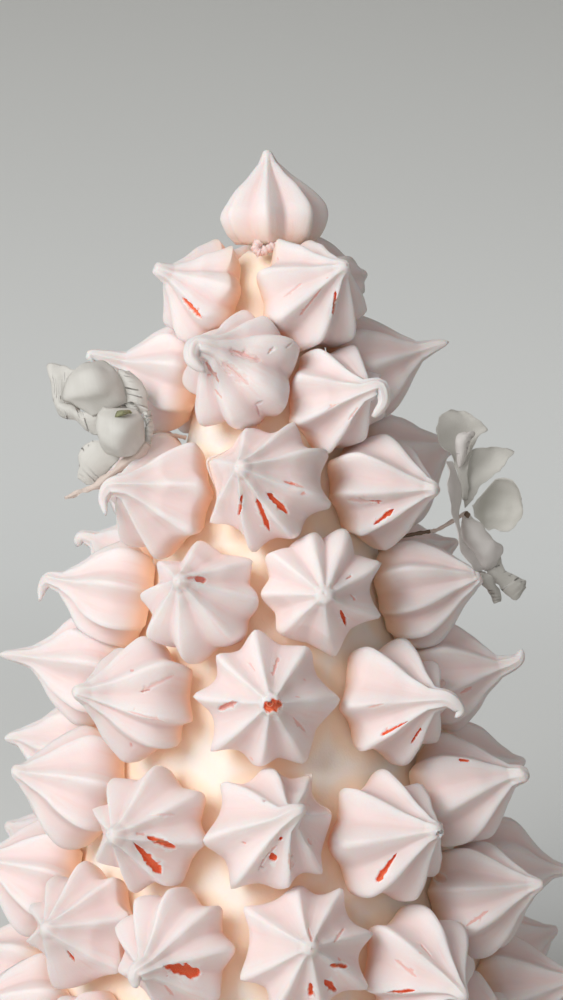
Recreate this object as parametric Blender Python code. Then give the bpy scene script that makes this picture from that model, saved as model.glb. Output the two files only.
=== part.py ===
"""Meringue tower: star-piped kisses in staggered rings on a smooth cream cone, with two white flowers.

The tower stands on its flat foot, +Z up, with the origin at the middle of the foot. Azimuth 0 is the
front (-Y) and positive azimuths go round to +X.
"""

import math
import random
from dataclasses import dataclass

import bpy
from mathutils import Matrix, Vector

MM = 0.001

# The cone that carries the kisses: a straight slope that ends in a small dome.
FOOT_RADIUS = 90.5 * MM
SLOPE = 0.27
DOME_RADIUS = 14.5 * MM
DOME_STEPS = 3
CORE_SIDES = 36
LEAN_OF_SIDE = math.atan(SLOPE)
DOME_START_HEIGHT = (FOOT_RADIUS - DOME_RADIUS * math.cos(LEAN_OF_SIDE)) / SLOPE
DOME_CENTRE_HEIGHT = DOME_START_HEIGHT - DOME_RADIUS * math.sin(LEAN_OF_SIDE)
CORE_TOP = DOME_CENTRE_HEIGHT + DOME_RADIUS

# Room between pieces that only touch, and how deep a kiss goes where it is one solid with the cone.
TOUCH_GAP = 0.3 * MM
JOINED_SINK = 2.0 * MM

# Outline of a kiss: ridge radius as a share of its width, at heights as a share of its length.
OUTLINE = (
    (0.00, 0.350),
    (0.10, 0.445),
    (0.24, 0.500),
    (0.34, 0.490),
    (0.44, 0.425),
    (0.56, 0.325),
    (0.68, 0.210),
    (0.84, 0.100),
)
NECK = 0.84
BELLY = 0.26
GROOVE_DEPTH = 0.25
EVEN_RIDGES = 8
EVEN_RIDGE_SHIFT = 4
BODY_LEVELS = (0.0, 0.10, 0.25, 0.42)
NECK_LEVELS = (0.58, 0.75)
BENT_TIP_LEVELS = (0.35, 0.75)
SPINE_STEPS = 8
NEIGHBOUR_REACH = 62 * MM

CREAM = (0.93, 0.83, 0.66)
BLUSH = (0.90, 0.70, 0.66)
PETAL_WHITE = (0.80, 0.80, 0.76)


@dataclass
class Kiss:
    """One piped kiss. Lengths are in millimetres, and points are (right, up, out) from the kiss's base.

    Its ridges stand at the angles given, from its right and anticlockwise, or evenly from its roll.
    """

    azimuth: float
    height: float
    width: float = 42
    length: float = 37
    roll: float = 0
    ridges: tuple = ()
    twist: float = 0
    lean: tuple = (0, 0)
    tip: tuple = ()
    blunt: float = 1.3


APEX = Kiss(0, 0, width=40, length=34.5, roll=-67, lean=(-1.5, 0))
APEX_SHIFT = 1.8 * MM

RING_1 = (
    Kiss(-66, 274.5, width=40, length=27, roll=10, lean=(1, 3), tip=((0, 0.5, 3),), blunt=2.2),
    Kiss(36, 274, width=43, length=31, roll=30, lean=(1, 4), tip=((0.5, 0.5, 3),), blunt=2.6),
    Kiss(130, 276, width=39, length=34, roll=5),
    Kiss(211, 276, width=39, length=34, roll=20, lean=(-2, 1)),
)
RING_2 = (
    Kiss(-86, 245, width=42, length=33, roll=12, lean=(0, 1), tip=((0, 2, 7), (0, 3, 11), (1, -1, 10))),
    Kiss(
        -17, 248, width=46, length=33, ridges=(24, 56, 91, 138, 185, 239, 279, 327), lean=(-5, 3),
        tip=((-4, 0, 3), (-4, -5, 5), (1, -9, 4)), blunt=1.6,
    ),
    Kiss(41, 238, width=42, length=33, roll=20, lean=(-2, 1), tip=((3, 0, 4), (3, -5, 4), (0, -8, 1))),
    Kiss(90, 247, width=43, length=38, roll=0, lean=(-1, 1), tip=((0, 0.5, 7),)),
    Kiss(182, 244, width=43, length=36, roll=16, lean=(2, -2)),
)
RING_3 = (
    Kiss(-104, 207, width=40, roll=8, lean=(-2, 1)),
    Kiss(-53, 204, width=46, length=35, roll=15, lean=(2, 1), tip=((-5, -1, 3), (-5, -6, 4), (-1, -9, 4))),
    Kiss(
        0, 209.5, width=48, length=36, ridges=(25, 61, 106, 154, 209, 255, 296, 339), lean=(-8, 2),
        tip=((-2, 0, 3),), blunt=2.2,
    ),
    Kiss(57, 206, width=44, length=37, roll=0, lean=(-1, -4), tip=((0, -1, 4),), blunt=2.0),
    Kiss(112, 214, width=41, roll=20, lean=(0, -1)),
    Kiss(160, 207, width=42, roll=4, lean=(2, 2)),
    Kiss(208, 206, width=43, roll=13, lean=(-2, 2)),
)
RING_4 = (
    Kiss(-76, 167, width=42, length=35, roll=20, lean=(-5, 0), tip=((-4, -1, 5), (-5, -6, 6))),
    Kiss(
        -24, 171, width=45, length=34, ridges=(5, 43, 102, 146, 181, 225, 267, 320), lean=(1, 4),
        tip=((0, 0, 4),), blunt=2.0,
    ),
    Kiss(
        19, 174.5, width=45, length=33, ridges=(20, 62, 96, 138, 178, 223, 278, 333), lean=(-5, -3),
        tip=((-1, 0, 3),), blunt=2.8,
    ),
    Kiss(72, 169, width=42, length=38, roll=14, lean=(2, -1), tip=((0, 0, 6),), blunt=1.8),
    Kiss(115, 168, width=41, roll=6, lean=(1, 0)),
    Kiss(156, 172, width=42, roll=18, lean=(-2, 1)),
    Kiss(200, 170, width=43, roll=9, lean=(3, 0)),
    Kiss(-116, 174, width=42, length=36, roll=0, lean=(0, 2), tip=((2, 0, 5), (3, -4, 6))),
)
RING_5 = (
    Kiss(-83, 140, width=44, length=39, roll=9, lean=(-2, 1), tip=((-1, 1, 11),)),
    Kiss(
        -42, 137, width=44, length=37, ridges=(38, 87, 135, 180, 212, 265, 317, 345), lean=(-5, -1),
        tip=((-2, 0, 5),), blunt=1.8,
    ),
    Kiss(
        0, 140, width=51, length=36, ridges=(0, 52, 100, 137, 176, 222, 263, 299), lean=(1, -2),
        tip=((0, 0, 3),), blunt=2.6,
    ),
    Kiss(
        42, 136, width=46, length=36, ridges=(30, 71, 119, 177, 218, 269, 313, 350), lean=(-1, -1),
        tip=((2, -1, 5), (3, -5, 7)),
    ),
    Kiss(82, 137, width=43, length=37, roll=4, lean=(0, -1), tip=((0, 2, 7), (0, 7, 9))),
    Kiss(122, 139, width=42, roll=17, lean=(2, 1)),
    Kiss(161, 136, width=43, roll=2, lean=(-1, 2)),
    Kiss(201, 138, width=42, roll=12, lean=(-2, -1)),
    Kiss(240, 136, width=43, roll=19, lean=(2, 1)),
)
RING_6 = (
    Kiss(-97, 105, width=42, length=37, roll=7, lean=(0, 3), tip=((0, 2, 6),)),
    Kiss(-63, 103, width=44, length=38, roll=16, lean=(-3, 1), tip=((-2, 1, 6),)),
    Kiss(
        -31, 96.5, width=45, length=37, ridges=(37, 86, 137, 167, 214, 259, 302, 355), lean=(1, -2),
        tip=((-1, 0, 4),), blunt=2.0,
    ),
    Kiss(
        1, 99.5, width=47, length=34, ridges=(12, 52, 91, 137, 190, 235, 282, 318), lean=(5, 4),
        tip=((3, 2, 3), (6, 3, 3)),
    ),
    Kiss(
        32, 94, width=47.5, length=38, ridges=(2, 42, 86, 129, 178, 231, 279, 317), lean=(3, 1),
        tip=((1, 0, 4),), blunt=1.8,
    ),
    Kiss(63, 101, width=44, length=38, roll=1, lean=(2, 2), tip=((0, 0, 6),), blunt=2.8),
    Kiss(96, 99, width=43, roll=15, lean=(1, 1)),
    Kiss(129, 102, width=43, roll=5, lean=(-2, 0)),
    Kiss(162, 98, width=44, roll=21, lean=(1, 2)),
    Kiss(195, 101, width=43, roll=11, lean=(2, -2)),
    Kiss(229, 98, width=44, roll=3, lean=(-1, 1)),
)
RING_7 = (
    Kiss(-76, 67, width=44, length=37, roll=14, lean=(-1, 1)),
    Kiss(
        -47, 60, width=46, length=36, ridges=(24, 64, 104, 140, 172, 206, 257, 337), lean=(1, 0),
        tip=((0, 0, 5),),
    ),
    Kiss(
        -21, 60, width=45, length=36, ridges=(9, 48, 89, 125, 158, 201, 265, 320), lean=(-1, -4),
        tip=((-2, -2, 3), (-1, -6, 3)),
    ),
    Kiss(
        8.5, 62.5, width=48, length=36, ridges=(10, 56, 96, 145, 202, 240, 280, 326), lean=(-2, 2),
        tip=((0, 0, 4),), blunt=1.8,
    ),
    Kiss(
        35, 53, width=44, length=36, ridges=(35, 81, 128, 186, 220, 265, 310, 357), lean=(0, -4),
        tip=((1, 0, 5),),
    ),
    Kiss(60, 66, width=44, length=37, roll=20, lean=(2, 1)),
    Kiss(90, 68, width=44, roll=6, lean=(0, 2)),
    Kiss(122, 61, width=45, roll=16, lean=(2, 0)),
    Kiss(155, 64, width=46, roll=1, lean=(-2, 2)),
    Kiss(187, 60, width=45, roll=10, lean=(1, -1)),
    Kiss(219, 63, width=46, roll=22, lean=(0, 2)),
    Kiss(251, 61, width=45, roll=5, lean=(-2, 1)),
)
SEPARATE_RINGS = (RING_1, RING_2, RING_3, RING_4, RING_5, RING_6, RING_7)

# The lowest ring is one solid with the cone.
LOWEST_HEIGHT = 24
LOWEST_AZIMUTHS = (-65, -39, -10, 19, 48, 76, 104, 132, 159, 186, 213, 240, 267)
LOWEST_RING = tuple(
    Kiss(azimuth, LOWEST_HEIGHT + (number % 3) - 1, width=44, length=36, roll=7 * number, lean=(number % 4 - 2, 1))
    for number, azimuth in enumerate(LOWEST_AZIMUTHS)
)


@dataclass
class Petal:
    """One petal, in millimetres from the heart of its flower: how far it reaches and which way it faces."""

    reach: tuple
    face: tuple
    width: float
    cup: float = 0
    bow: float = 0
    ruffle: float = 1
    phase: float = 0


PETAL_THICKNESS = 0.9 * MM
PETAL_ROWS = 4
PETAL_COLUMNS = 4
HEART_RADIUS = 3.0 * MM
STEM_RADIUS = 0.9 * MM
STEM_SIDES = 6

# Each flower: where its heart is, its petals, and the points that its stem follows back to the cone.
FLOWERS = {
    "flower_left": {
        "heart": (-53, -30, 234),
        "petals": (
            Petal((-15, 1, 19), (-0.2, -1, 0.1), 24, cup=-2, bow=3, phase=0.5),
            Petal((-21, 5, 8), (-0.3, -1, -0.4), 19, cup=2, bow=-2, phase=1.7),
            Petal((2, -6, -13), (0.1, -1, 0.5), 17, cup=-4, bow=4, phase=2.6),
            Petal((13, 3, 2), (0.5, -0.8, 0.2), 24, cup=-2, bow=2, phase=3.9),
            Petal((-9, 4, -20), (-0.5, -1, 0.1), 15, cup=2, bow=2, phase=5.1),
        ),
        "stem": ((-53, -30, 234), (-45, -22, 230), (-36, -13, 227), (-29, -9.5, 226)),
    },
    "flower_right": {
        "heart": (70.5, -16, 200),
        "petals": (
            Petal((-5, 4, 36), (0.4, -1, 0), 22, cup=3, bow=2, phase=0.2),
            Petal((16, 4, 22), (0.6, -1, -0.5), 17, cup=2, bow=3, phase=1.1),
            Petal((20, -2, 3), (0.2, -1, 0.3), 20, cup=4, bow=-3, phase=2.3),
            Petal((11, -3, -14), (0.5, -1, 0.2), 14, cup=2, bow=2, phase=3.5),
            Petal((20, 2, -26), (0.3, -1, 0.3), 11, cup=1, bow=-3, phase=4.4),
            Petal((-6, -11, 1), (1, -0.5, 0), 37, cup=2, bow=1, phase=5.7),
        ),
        "stem": ((70.5, -16, 200), (61, -15, 194), (50, -17, 192), (37, -17, 189)),
    },
}


def material(name, colour, roughness):
    """A plain opaque material of one colour."""
    made = bpy.data.materials.new(name)
    made.use_nodes = True
    shader = made.node_tree.nodes["Principled BSDF"]
    shader.inputs["Base Color"].default_value = (*colour, 1)
    shader.inputs["Roughness"].default_value = roughness
    made.diffuse_color = (*colour, 1)
    return made


def add_object(name, points, faces, finish, place=None, collection=None):
    """A smooth-shaded mesh object, placed by a matrix."""
    mesh = bpy.data.meshes.new(name)
    mesh.from_pydata([tuple(point) for point in points], [], faces)
    mesh.materials.append(finish)
    mesh.shade_smooth()
    made = bpy.data.objects.new(name, mesh)
    made.matrix_world = place or Matrix.Identity(4)
    (collection or bpy.context.scene.collection).objects.link(made)
    return made


def helpers_of(name):
    """A collection for solids that a Boolean joins to one object, left out of the render."""
    made = bpy.data.collections.new(name)
    made.hide_render = True
    bpy.context.scene.collection.children.link(made)
    return made


def join_collection(target, helpers):
    """Joins every solid of the collection to the target, as one body."""
    for helper in helpers.objects:
        helper.hide_render = True
        helper.display_type = "WIRE"
    union = target.modifiers.new("joined", "BOOLEAN")
    union.operation = "UNION"
    union.operand_type = "COLLECTION"
    union.collection = helpers
    union.solver = "EXACT"


def rings_to_faces(rings):
    """Faces between neighbouring rings of point numbers. A ring may have half as many points as the one below."""
    faces = []
    for low, high in zip(rings, rings[1:]):
        count = len(low)
        for i in range(count):
            after = (i + 1) % count
            if len(high) == count:
                faces.append((low[i], low[after], high[after], high[i]))
            elif i % 2 == 0:
                faces.append((low[i], low[after], high[i // 2]))
            else:
                above = high[(i // 2 + 1) % len(high)]
                faces.append((low[i], above, high[i // 2]))
                faces.append((low[i], low[after], above))
    return faces


def core_object(finish):
    """The cone and its dome, turned round the vertical axis."""
    outline = [(FOOT_RADIUS, 0.0)]
    for step in range(DOME_STEPS):
        angle = LEAN_OF_SIDE + (math.pi / 2 - LEAN_OF_SIDE) * step / DOME_STEPS
        outline.append((DOME_RADIUS * math.cos(angle), DOME_CENTRE_HEIGHT + DOME_RADIUS * math.sin(angle)))
    points = []
    rings = []
    for radius, height in outline:
        rings.append(list(range(len(points), len(points) + CORE_SIDES)))
        for side in range(CORE_SIDES):
            turn = 2 * math.pi * side / CORE_SIDES
            points.append(Vector((radius * math.cos(turn), radius * math.sin(turn), height)))
    points.append(Vector((0, 0, CORE_TOP)))
    faces = rings_to_faces(rings)
    faces.append(tuple(reversed(rings[0])))
    top = rings[-1]
    faces += [(top[i], top[(i + 1) % CORE_SIDES], len(points) - 1) for i in range(CORE_SIDES)]
    return add_object("core", points, faces, finish)


def kiss_place(kiss, offset):
    """The frame of a kiss on the cone: X to its right, Y up the slope and Z straight out."""
    if kiss is APEX:
        return Matrix.Translation((APEX_SHIFT, 0, CORE_TOP + offset))
    turn = math.radians(kiss.azimuth)
    height = kiss.height * MM
    radius = FOOT_RADIUS - SLOPE * height
    right = Vector((math.cos(turn), math.sin(turn), 0))
    out = Vector((math.sin(turn), -math.cos(turn), math.tan(LEAN_OF_SIDE))).normalized()
    up = out.cross(right)
    base = Vector((radius * math.sin(turn), -radius * math.cos(turn), height)) + out * offset
    place = Matrix((right, up, out)).transposed().to_4x4()
    place.translation = base
    return place


def outline_radius(share):
    """Ridge radius as a share of the width, at a share of the length."""
    for (low, first), (high, second) in zip(OUTLINE, OUTLINE[1:]):
        if share <= high:
            return first + (second - first) * (share - low) / (high - low)
    return OUTLINE[-1][1]


def smooth_path(points, steps):
    """Points along a Catmull-Rom curve that leaves its first point straight towards the second."""
    ends = [2 * points[0] - points[1], *points, 2 * points[-1] - points[-2]]
    path = []
    for a, b, c, d in zip(ends, ends[1:], ends[2:], ends[3:]):
        for step in range(steps):
            t = step / steps
            path.append(
                0.5 * (2 * b + (c - a) * t + (2 * a - 5 * b + 4 * c - d) * t**2 + (3 * b - a - 3 * c + d) * t**3)
            )
    path.append(points[-1])
    return path


def kiss_spine(kiss):
    """The middle line of a kiss, with a frame at each point, and how many points lie below the neck."""
    length = kiss.length * MM
    lean = Vector((kiss.lean[0], kiss.lean[1], 0)) * MM
    up = Vector((0, 0, 1))
    neck = lean + up * NECK * length
    ends = kiss.tip or ((0.15 * kiss.lean[0], 0.15 * kiss.lean[1], 0.14 * kiss.length),)
    control = [Vector(), up * 0.3 * length, 0.55 * lean + up * 0.6 * length, neck]
    control += [neck + Vector(end) * MM for end in ends]
    path = smooth_path(control, SPINE_STEPS)
    spine = []
    across = Vector((1, 0, 0))
    for number, point in enumerate(path):
        before = path[max(number - 1, 0)]
        after = path[min(number + 1, len(path) - 1)]
        along = (after - before).normalized() if number else up
        across = (across - along * across.dot(along)).normalized()
        spine.append((point, across, along.cross(across)))
    return spine, 3 * SPINE_STEPS


def ridge_angles(kiss, draw):
    """Where the ridges stand, in radians: as given, or evenly spaced with small drawn shifts."""
    if kiss.ridges:
        return [math.radians(angle) for angle in kiss.ridges]
    step = 360 / EVEN_RIDGES
    shifts = [draw.uniform(-EVEN_RIDGE_SHIFT, EVEN_RIDGE_SHIFT) for _ in range(EVEN_RIDGES)]
    return [math.radians(kiss.roll + step * number + shift) for number, shift in enumerate(shifts)]


def kept_clear(point, centre, walls):
    """The point, drawn in towards the centre until it is inside every wall between this kiss and a neighbour."""
    share = 1.0
    for normal, limit in walls:
        reach = (point - centre).dot(normal)
        room = limit - centre.dot(normal)
        if reach > room:
            share = min(share, max(room / reach, 0.05))
    return centre + (point - centre) * share


def kiss_mesh(kiss, walls, seed):
    """Points and faces of one kiss, with sharp ridges and grooves between them."""
    draw = random.Random(seed)
    spine, neck_index = kiss_spine(kiss)
    angles = ridge_angles(kiss, draw)
    sizes = [draw.uniform(0.95, 1.03) for _ in angles]
    width = kiss.width * MM
    neck_radius = outline_radius(NECK) * width
    levels = [(share / NECK * neck_index, outline_radius(share) * width, True) for share in BODY_LEVELS]
    levels += [(share / NECK * neck_index, outline_radius(share) * width, False) for share in NECK_LEVELS]
    tip_steps = len(spine) - 1 - neck_index
    for share in BENT_TIP_LEVELS if len(kiss.tip) > 1 else ():
        radius = neck_radius + (kiss.blunt * MM - neck_radius) * share
        levels.append((neck_index + share * tip_steps, radius, False))
    points = []
    rings = []
    for place, radius, grooved in levels:
        centre, across, upward = spine[round(place)]
        ring = []
        twist = math.radians(kiss.twist) * place / neck_index
        for number, angle in enumerate(angles):
            after = angles[number + 1] if number + 1 < len(angles) else angles[0] + 2 * math.pi
            spokes = [(angle, radius * sizes[number])]
            if grooved:
                spokes.append(((angle + after) / 2, radius * (1 - GROOVE_DEPTH)))
            for turn, size in spokes:
                around = across * math.cos(turn + twist) + upward * math.sin(turn + twist)
                ring.append(len(points))
                points.append(kept_clear(centre + around * size, centre, walls))
        rings.append(ring)
    points.append(spine[-1][0])
    faces = rings_to_faces(rings)
    faces.append(tuple(reversed(rings[0])))
    top = rings[-1]
    faces += [(top[i], top[(i + 1) % len(top)], len(points) - 1) for i in range(len(top))]
    return points, faces


def add_kisses(kisses, finish):
    """Every kiss, kept clear of its neighbours. The lowest ring goes to the helpers that the core is joined with."""
    joined = helpers_of("lowest_ring")
    bellies = []
    for kiss, name in kisses:
        place = kiss_place(kiss, -JOINED_SINK if name is None else TOUCH_GAP)
        bellies.append((place, place @ Vector((0, 0, BELLY * kiss.length * MM))))
    for number, (kiss, name) in enumerate(kisses):
        place, belly = bellies[number]
        inverse = place.inverted()
        walls = []
        for other, (_, their_belly) in enumerate(bellies):
            apart = their_belly - belly
            if other == number or apart.length > NEIGHBOUR_REACH:
                continue
            share = kiss.width / (kiss.width + kisses[other][0].width)
            middle = inverse @ (belly + apart * share)
            normal = (inverse.to_3x3() @ apart).normalized()
            walls.append((normal, middle.dot(normal) - TOUCH_GAP / 2))
        points, faces = kiss_mesh(kiss, walls, number)
        if name is None:
            add_object(f"lowest_kiss_{number:02d}", points, faces, finish, place, joined)
        else:
            add_object(name, points, faces, finish, place)
    return joined


def named_kisses():
    """Every kiss with its name, from the top down. A kiss of the lowest ring has no name of its own."""
    kisses = [(APEX, "kiss_apex")]
    for ring_number, ring in enumerate(SEPARATE_RINGS, 1):
        kisses += [(kiss, f"kiss_{ring_number}_{number:02d}") for number, kiss in enumerate(ring, 1)]
    return kisses + [(kiss, None) for kiss in LOWEST_RING]


def petal_point(petal, along, across):
    """A point in the middle of the petal's thickness. Along runs from 0 to 1, and across from -1 to 1."""
    reach = Vector(petal.reach) * MM
    face = Vector(petal.face).normalized()
    face = (face - reach.normalized() * face.dot(reach.normalized())).normalized()
    side = reach.normalized().cross(face)
    spread = 0.5 * petal.width * MM * (0.16 + 0.84 * math.sin(math.pi * min(along, 1) ** 1.25 * 0.82))
    lift = petal.cup * MM * across**2 * along + petal.bow * MM * math.sin(math.pi * along)
    lift += petal.ruffle * MM * along**2 * math.sin(4 * across + petal.phase)
    return reach * along * (1 - 0.16 * across**2 * along) + side * spread * across + face * lift, face


def petal_object(name, petal, heart, finish, helpers):
    """A thin wavy petal with the same triangles on both of its faces."""
    points = []
    for side in (1, -1):
        for row in range(PETAL_ROWS):
            for column in range(PETAL_COLUMNS):
                across = 2 * column / (PETAL_COLUMNS - 1) - 1
                point, face = petal_point(petal, row / (PETAL_ROWS - 1), across)
                points.append(point + face * side * PETAL_THICKNESS / 2)
    size = PETAL_ROWS * PETAL_COLUMNS
    rim = list(range(PETAL_COLUMNS))
    rim += [row * PETAL_COLUMNS - 1 for row in range(2, PETAL_ROWS + 1)]
    rim += [size - column for column in range(2, PETAL_COLUMNS + 1)]
    rim += [row * PETAL_COLUMNS for row in range(PETAL_ROWS - 2, 0, -1)]
    faces = []
    for row in range(PETAL_ROWS - 1):
        for column in range(PETAL_COLUMNS - 1):
            a = row * PETAL_COLUMNS + column
            b, c, d = a + 1, a + PETAL_COLUMNS + 1, a + PETAL_COLUMNS
            faces += [(a, c, b), (a, d, c)]
            faces += [(size + a, size + b, size + c), (size + a, size + c, size + d)]
    for here, after in zip(rim, rim[1:] + rim[:1]):
        faces.append((here, after, size + after, size + here))
    return add_object(name, points, faces, finish, Matrix.Translation(heart), helpers)


def stem_object(name, route, finish, helpers):
    """A thin round stem along a smooth route."""
    path = smooth_path([Vector(point) * MM for point in route], 2)
    points = []
    rings = []
    across = Vector((0, 1, 0))
    for number, point in enumerate(path):
        along = (path[min(number + 1, len(path) - 1)] - path[max(number - 1, 0)]).normalized()
        across = (across - along * across.dot(along)).normalized()
        upward = along.cross(across)
        rings.append(list(range(len(points), len(points) + STEM_SIDES)))
        for side in range(STEM_SIDES):
            turn = 2 * math.pi * side / STEM_SIDES
            points.append(point + (across * math.cos(turn) + upward * math.sin(turn)) * STEM_RADIUS)
    faces = rings_to_faces(rings)
    faces.append(tuple(reversed(rings[0])))
    faces.append(tuple(rings[-1]))
    return add_object(name, points, faces, finish, None, helpers)


def flower_object(name, plan, finish):
    """The heart of a flower, joined with its petals and its stem as one solid."""
    heart = Vector(plan["heart"]) * MM
    bpy.ops.mesh.primitive_ico_sphere_add(subdivisions=1, radius=HEART_RADIUS, location=heart)
    flower = bpy.context.object
    flower.name = name
    flower.data.materials.append(finish)
    helpers = helpers_of(name + "_pieces")
    for number, petal in enumerate(plan["petals"]):
        petal_object(f"{name}_petal_{number}", petal, heart, finish, helpers)
    stem_object(name + "_stem", plan["stem"], finish, helpers)
    join_collection(flower, helpers)
    return flower


def main():
    for old in list(bpy.data.objects):
        bpy.data.objects.remove(old)
    cream = material("cream", CREAM, 0.55)
    blush = material("blush", BLUSH, 0.6)
    white = material("petal_white", PETAL_WHITE, 0.5)
    core = core_object(cream)
    join_collection(core, add_kisses(named_kisses(), blush))
    for name, plan in FLOWERS.items():
        flower_object(name, plan, white)


main()
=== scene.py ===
"""The looks of the meringue tower: ridged kisses with torn slits, a cream cone and two white flowers."""

import math
import random
from dataclasses import dataclass

import bmesh
import bpy
import numpy as np
from mathutils import Matrix, Vector


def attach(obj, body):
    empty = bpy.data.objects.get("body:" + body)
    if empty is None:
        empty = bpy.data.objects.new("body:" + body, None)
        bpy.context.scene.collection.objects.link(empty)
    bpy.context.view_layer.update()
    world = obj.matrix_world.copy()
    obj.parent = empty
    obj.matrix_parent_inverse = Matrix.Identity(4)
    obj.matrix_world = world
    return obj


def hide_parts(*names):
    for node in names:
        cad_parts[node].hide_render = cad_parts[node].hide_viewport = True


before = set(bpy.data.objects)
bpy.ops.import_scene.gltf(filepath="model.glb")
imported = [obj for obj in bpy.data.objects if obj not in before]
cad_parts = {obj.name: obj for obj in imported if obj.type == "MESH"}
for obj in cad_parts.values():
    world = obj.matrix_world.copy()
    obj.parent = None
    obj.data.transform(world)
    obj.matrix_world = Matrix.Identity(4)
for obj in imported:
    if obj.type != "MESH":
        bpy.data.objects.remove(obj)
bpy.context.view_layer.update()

MM = 0.001
BODY = "root"

# The photo's frame in pixels, and where the tower stands in it.
PHOTO_WIDTH = 563
PHOTO_HEIGHT = 1000
AXIS_COLUMN = 267
PIXEL = 0.362 * MM
VIEW_DISTANCE = 1800 * PIXEL
VIEW_ELEVATION = math.radians(6)
VIEW_SINE = math.sin(VIEW_ELEVATION)
VIEW_COSINE = math.cos(VIEW_ELEVATION)
AIM_HEIGHT = 560 * PIXEL
SENSOR = 36

# The cone that carries the kisses, as in the frame.
FOOT_RADIUS = 90.5 * MM
SLOPE = 0.27
DOME_RADIUS = 14.5 * MM
LEAN_OF_SIDE = math.atan(SLOPE)
DOME_START_HEIGHT = (FOOT_RADIUS - DOME_RADIUS * math.cos(LEAN_OF_SIDE)) / SLOPE
DOME_CENTRE_HEIGHT = DOME_START_HEIGHT - DOME_RADIUS * math.sin(LEAN_OF_SIDE)
CORE_TOP = DOME_CENTRE_HEIGHT + DOME_RADIUS
CORE_COLUMNS = 180
CORE_ROWS = 90
DOME_ROWS = 18

TOUCH_GAP = 0.3 * MM
JOINED_SINK = 2.0 * MM

# Outline of a kiss: ridge radius as a share of its width, at heights as a share of its length.
OUTLINE = (
    (0.0, 0.35), (0.1, 0.445), (0.24, 0.5), (0.34, 0.49), (0.44, 0.425), (0.56, 0.325), (0.68, 0.21), (0.84, 0.1),
)
NECK = 0.84
BELLY = 0.26
GROOVE_DEPTH = ((0.0, 0.14), (0.1, 0.20), (0.25, 0.245), (0.5, 0.275), (0.7, 0.28), (0.84, 0.22))
EVEN_RIDGES = 8
EVEN_RIDGE_SHIFT = 4
SPINE_STEPS = 16
NEIGHBOUR_REACH = 62 * MM
FRONT_AZIMUTH = 88
FRONT_GRID = (112, 56)
BACK_GRID = (64, 36)
DIMPLE = 0.35 * MM
BODY_ROWS = 0.72
SWELL = 0.35 * MM
SMALL_SWELL = 0.1 * MM
TORN = 0.14 * MM
CREASE_SOFTNESS = 0.06
EASED_FROM = 0.85
EASED_ROOM = 0.15
PLACING_ROUNDS = 4

# How far the painted warm bounce light and shade at a kiss's foot reaches up, and where a painted glow stands in
# for the strong light soaking through.
FOOT_BOUNCE_FROM = 1 * MM
FOOT_BOUNCE_TO = 11 * MM
PAINTED_GLOW_AZIMUTH = math.radians(-60)
PAINTED_GLOW_REACH = 30 * MM
PAINTED_GLOW_BACK = 40 * MM
MERINGUE_GLOW = 0.06
CREAM_GLOW = 0.045
LINE_STRETCH = 0.35

# The backdrop: where it bends up, and how it glows further back and higher up, in metres.
BEND_START = 1.3
BEND_RADIUS = 0.6
BEND_STEPS = 12
STAGE_HALF = 3.0
GLOW_BEGINS = (-0.05, 0.2)
GLOW_GROWS = (0.4, 1.3)
GLOW_HEIGHTS = (-0.12, 0.95)
GLOW_FAR = 1.31
GLOW_HIGH = 0.235
GLOW_COLOUR = (0.243, 0.256, 0.258)
AMBIENT_COLOUR = (1.0, 0.93, 0.885)
AMBIENT = 0.235
LAMP_AIM = Vector((0, 0, 0.17))


@dataclass
class Kiss:
    """One piped kiss. Lengths are in millimetres, and points are (right, up, out) from its base.

    Its ridges stand at the angles given, from its right and anticlockwise, or evenly from its roll. Blunt is
    the radius of its tip. Lobed is 0 for sharp ridges with wide valleys and 1 for round lobes with sharp
    creases, as one number for the kiss or one for each ridge.
    """

    azimuth: float
    height: float
    width: float = 42
    length: float = 37
    roll: float = 0
    ridges: tuple = ()
    lean: tuple = (0, 0)
    tip: tuple = ()
    blunt: float = 1.3
    lobed: float | tuple = 0.2


APEX = Kiss(0, 0, 39, 34, ridges=(10, 62, 115, 168, 220, 265, 316), lean=(-1.5, 0), lobed=0.5)
APEX_SHIFT = 1.8 * MM

RING_1 = (
    Kiss(-66, 274.5, 43, 27, roll=10, lean=(1, 3), tip=((-0.5, 1, 6),), blunt=2.0, lobed=0.6),
    Kiss(36, 274, 46, 31, roll=30, lean=(1, 4), tip=((0.5, 0.5, 4),), blunt=1.6, lobed=0.3),
    Kiss(130, 276, 39, 34, roll=5),
    Kiss(211, 276, 39, 34, roll=20, lean=(-2, 1)),
)
RING_2 = (
    Kiss(-86, 245, length=33, roll=12, tip=((0, 0, 7), (0, -0.5, 12), (1, -3, 9.5)), blunt=1.0),
    Kiss(-17, 248, 46, 33, ridges=(24, 56, 91, 138, 185, 239, 279, 327), lean=(-5, 3),
         tip=((-4, 0, 3), (-4, -5, 5), (1, -9, 4)), blunt=1.6, lobed=0.85),
    Kiss(41, 238, 43, 33, roll=20, lean=(-2, -1), blunt=0.7,
         tip=((2.5, 0, 4), (3, -5, 4), (0.5, -8.5, 2), (-1, -9, 1))),
    Kiss(90, 247, 43, 38, lean=(-1, 1), tip=((0, 0.5, 6), (0, 0.5, 11)), blunt=1.1),
    Kiss(182, 244, 43, 36, roll=16, lean=(2, -2)),
    Kiss(-134, 242, 41, 34, roll=8, lean=(-1, 1)),
)
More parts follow.
